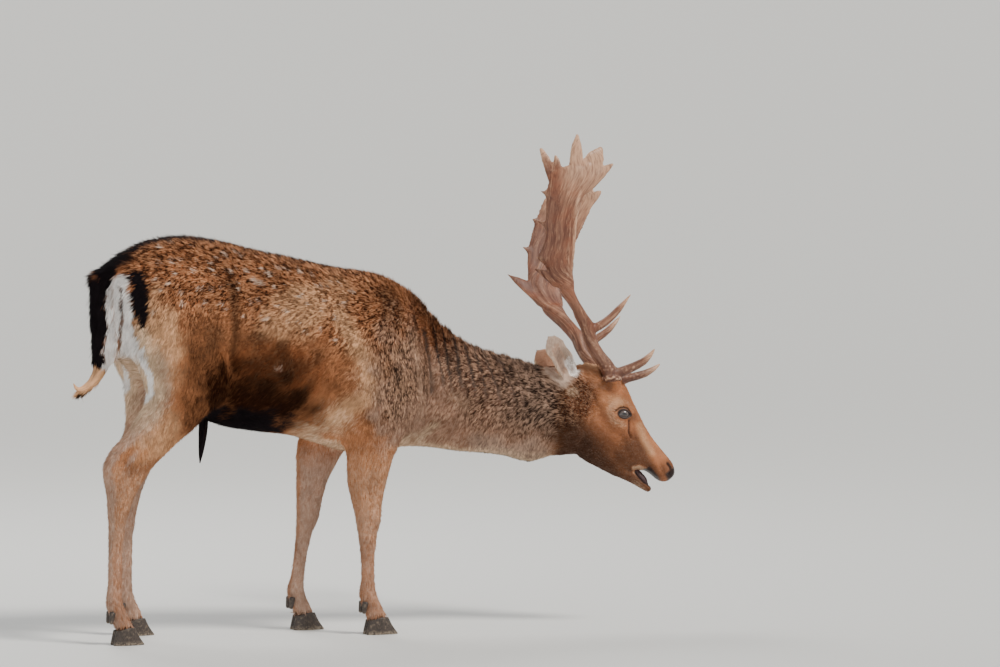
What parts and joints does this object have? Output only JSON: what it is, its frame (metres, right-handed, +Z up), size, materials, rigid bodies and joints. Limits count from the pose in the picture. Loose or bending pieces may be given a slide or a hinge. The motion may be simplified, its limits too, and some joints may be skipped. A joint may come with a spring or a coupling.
{
  "type": "fallow deer",
  "caption": "Life-size still model of a fallow buck standing with its neck level and head lowered to feed, with palmate antlers.",
  "frame": {"origin": "middle of the bounding box on the ground plane, under the soles of the hooves", "axes": "+X from rump to nose, +Y to the animal's left, +Z up"},
  "size_m": [1.5084, 0.4528, 1.2114],
  "materials": {
    "coat": "short dense fur, reddish brown with black tips, pale spots, black back line and white rump",
    "bare_skin": "moist dark skin of nose, lips and eyelids",
    "eye": "wet and glossy, dark with a blue-grey sheen",
    "antler": "hard grooved antler, reddish brown with polished pale tips",
    "hoof": "dark horn, dull with a slight sheen"
  },
  "bodies": {
    "root": {"antler_left_beam": "antler", "antler_left_brow_tine": "antler", "antler_left_palm": "antler", "antler_left_trez_tine": "antler", "antler_right_beam": "antler", "antler_right_brow_tine": "antler", "antler_right_palm": "antler", "antler_right_trez_tine": "antler", "ear_left": "coat", "ear_right": "coat", "eye_left": "eye", "eye_right": "eye", "fore_left_cannon": "coat", "fore_left_claw_inner": "hoof", "fore_left_claw_outer": "hoof", "fore_left_dewclaw_inner": "hoof", "fore_left_dewclaw_outer": "hoof", "fore_left_foot": "coat", "fore_left_upper": "coat", "fore_right_cannon": "coat", "fore_right_claw_inner": "hoof", "fore_right_claw_outer": "hoof", "fore_right_dewclaw_inner": "hoof", "fore_right_dewclaw_outer": "hoof", "fore_right_foot": "coat", "fore_right_upper": "coat", "head": "coat", "hind_left_cannon": "coat", "hind_left_claw_inner": "hoof", "hind_left_claw_outer": "hoof", "hind_left_dewclaw_inner": "hoof", "hind_left_dewclaw_outer": "hoof", "hind_left_foot": "coat", "hind_left_upper": "coat", "hind_right_cannon": "coat", "hind_right_claw_inner": "hoof", "hind_right_claw_outer": "hoof", "hind_right_dewclaw_inner": "hoof", "hind_right_dewclaw_outer": "hoof", "hind_right_foot": "coat", "hind_right_upper": "coat", "neck": "coat", "sheath_brush": "coat", "tail": "coat", "trunk": "coat"}
  },
  "joints": []
}
